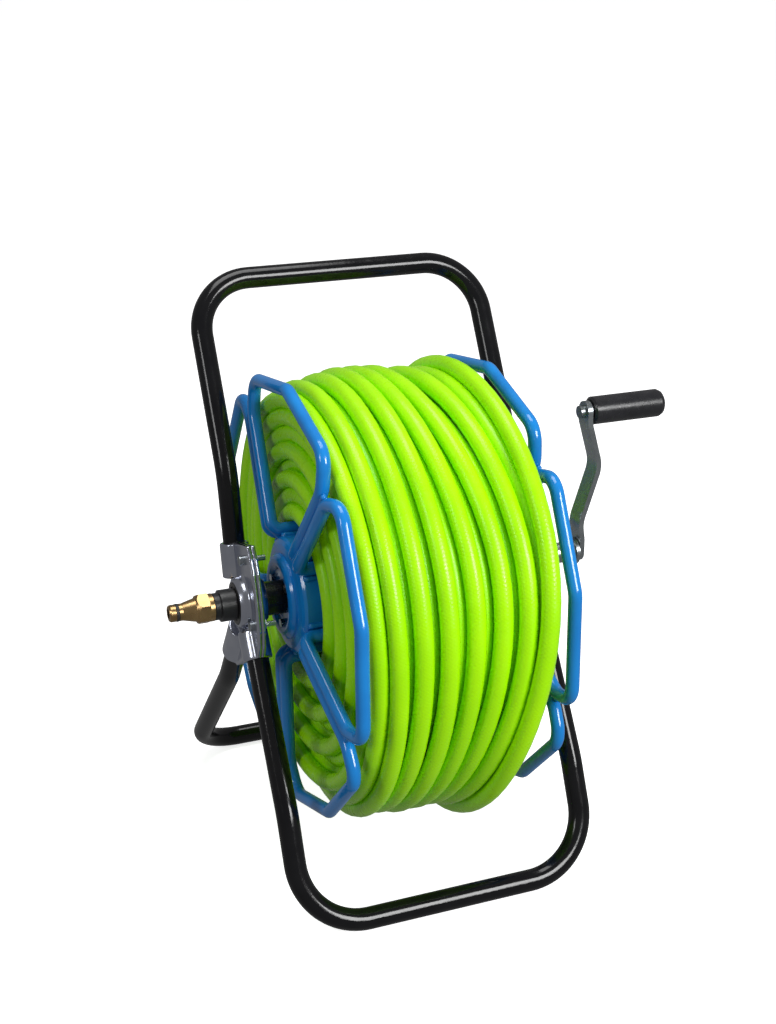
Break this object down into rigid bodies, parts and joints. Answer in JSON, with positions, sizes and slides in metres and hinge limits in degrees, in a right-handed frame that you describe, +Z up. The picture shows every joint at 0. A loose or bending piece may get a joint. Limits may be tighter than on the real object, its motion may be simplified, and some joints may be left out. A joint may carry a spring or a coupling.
{
  "type": "garden hose reel",
  "caption": "Free-standing garden hose reel: tubular frame, crank-turned drum with petal rod flanges and a wound hose, swivelling brass water inlet.",
  "frame": {"origin": "on the floor, under the middle of the reel's box measured without the hose and the connector on its end", "axes": "+X along the drum's axle from the water inlet to the crank, +Y to the back, where the handle leans and the rear foot stands, +Z up"},
  "size_m": [0.491, 0.4379, 0.5396],
  "materials": {
    "frame_black": "gloss black powder coat",
    "cast_aluminium": "polished die casting",
    "zinc_steel": "bright zinc plate",
    "black_plastic": "satin moulded plastic",
    "axle_black": "satin black paint",
    "drum_blue": "gloss blue powder coat",
    "brass": "machined brass",
    "hose_green": "smooth lime green PVC, slightly translucent",
    "connector_grey": "moulded plastic",
    "connector_black": "moulded plastic",
    "grip_black": "satin plastic",
    "seal_rubber": "rubber"
  },
  "bodies": {
    "frame": {"handle_tube": "frame_black", "front_foot_tube": "frame_black", "rear_foot_tube": "frame_black", "left_bracket_outer": "cast_aluminium", "left_bracket_inner": "cast_aluminium", "left_bracket_screws": "zinc_steel", "left_bracket_nuts": "zinc_steel", "left_bush": "black_plastic", "right_bracket_outer": "cast_aluminium", "right_bracket_inner": "cast_aluminium", "right_bracket_screws": "zinc_steel", "right_bracket_nuts": "zinc_steel", "right_bush": "black_plastic"},
    "drum": {"left_axle": "axle_black", "right_axle": "axle_black", "crank_shaft": "zinc_steel", "drum_core": "drum_blue", "left_end_plate": "drum_blue", "left_hub_cap": "drum_blue", "left_hub_screws": "zinc_steel", "left_petal_1": "drum_blue", "left_petal_2": "drum_blue", "left_petal_3": "drum_blue", "left_petal_4": "drum_blue", "left_petal_5": "drum_blue", "right_end_plate": "drum_blue", "right_hub_cap": "drum_blue", "right_hub_screws": "zinc_steel", "right_petal_1": "drum_blue", "right_petal_2": "drum_blue", "right_petal_3": "drum_blue", "right_petal_4": "drum_blue", "right_petal_5": "drum_blue", "water_elbow": "brass", "hose_barb": "brass", "hose_clamp": "zinc_steel", "hose_coil": "hose_green", "hose_connector_nut": "connector_grey", "hose_connector_body": "connector_black", "crank_arm": "zinc_steel", "crank_washer": "zinc_steel", "crank_bolt": "zinc_steel", "grip_pin": "zinc_steel"},
    "grip": {"grip": "grip_black", "grip_cap": "grip_black"},
    "inlet": {"swivel_body": "black_plastic", "swivel_seal": "seal_rubber", "inlet_nipple": "brass", "nipple_seal": "seal_rubber"}
  },
  "joints": [
    {"name": "drum_spin", "type": "hinge", "parent": "frame", "child": "drum", "pos_m": [0, -0.01596, 0.2686], "axis": [1, 0, 0], "continuous": true},
    {"name": "grip_spin", "type": "hinge", "parent": "drum", "child": "grip", "pos_m": [0.208, -0.01596, 0.409], "axis": [1, 0, 0], "continuous": true},
    {"name": "inlet_swivel", "type": "hinge", "parent": "frame", "child": "inlet", "pos_m": [-0.212, -0.01596, 0.2686], "axis": [1, 0, 0], "continuous": true}
  ]
}
